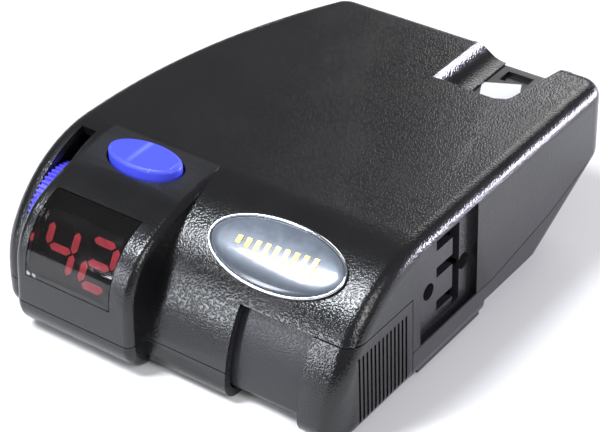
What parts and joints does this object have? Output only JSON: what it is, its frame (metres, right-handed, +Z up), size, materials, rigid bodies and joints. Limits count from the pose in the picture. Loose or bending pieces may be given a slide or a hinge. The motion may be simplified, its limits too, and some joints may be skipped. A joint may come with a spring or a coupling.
{
  "type": "trailer brake controller",
  "caption": "In-cab electric brake controller housing with tilted numeric display, boost button, gain thumbwheel, sprung manual slide lever and rear plug socket.",
  "frame": {"origin": "middle of the underside, below the middle of the outline", "axes": "+X to the right as the driver faces the display, +Y to the rear where the plug goes, +Z up"},
  "size_m": [0.107, 0.1307, 0.0418],
  "materials": {
    "shell": "fine grained black moulding",
    "pad": "fine grained black moulding",
    "slide": "fine grained black moulding",
    "lens": "polished smoked plastic",
    "display": "dark grey face",
    "lit": "glowing red bars",
    "unlit": "dark red bars",
    "board": "green laminate",
    "black_part": "black moulded package",
    "tin": "tinned metal",
    "aluminium": "plain aluminium",
    "steel": "zinc-plated steel",
    "capacitor": "dark blue sleeve",
    "copper": "enamelled copper winding",
    "button": "satin blue moulding",
    "wheel": "satin blue moulding",
    "plunger": "natural nylon",
    "shaft": "natural nylon",
    "spring": "spring wire",
    "connector": "smooth black moulding",
    "label": "blank white label",
    "badge": "domed silver-blue plate"
  },
  "bodies": {
    "housing": {"upper_shell": "shell", "lower_shell": "shell", "display_lens": "lens", "display_module": "display", "lit_segments": "lit", "unlit_segments": "unlit", "display_board": "board", "main_board": "board", "board_header": "black_part", "header_pins": "tin", "microcontroller": "black_part", "motion_sensor": "black_part", "power_transistors": "black_part", "heat_sink": "aluminium", "transistor_screws": "steel", "capacitors": "capacitor", "choke_coil": "copper", "flyback_diode": "black_part", "current_shunt": "tin", "board_screws": "steel", "switch_body": "black_part", "gain_sensor": "black_part", "gain_sensor_pins": "tin", "slide_sensor": "black_part", "slide_sensor_pins": "tin", "guide_rod": "steel", "return_spring": "spring", "connector_housing": "connector", "connector_blades": "tin", "connector_label": "label", "badge_plate": "badge", "case_screws": "steel"},
    "lever": {"manual_slide": "slide", "lever_pad": "pad", "slide_wiper": "plunger"},
    "button": {"boost_button": "button", "switch_plunger": "plunger"},
    "wheel": {"gain_wheel": "wheel", "wheel_shaft": "shaft"}
  },
  "joints": [
    {"name": "lever_slide", "type": "slide", "parent": "housing", "child": "lever", "axis": [-1, 0, 0], "range_m": [0, 0.018], "stiffness_N_per_m": 100, "springref_m": -0.012, "deforming": ["return_spring"]},
    {"name": "button_press", "type": "slide", "parent": "housing", "child": "button", "axis": [0, 0, -1], "range_m": [0, 0.0012], "stiffness_N_per_m": 1500, "springref_m": -0.0007},
    {"name": "wheel_turn", "type": "hinge", "parent": "housing", "child": "wheel", "pos_m": [-0.0457, -0.04, 0.02], "axis": [1, 0, 0], "range_deg": [-135, 135]}
  ]
}
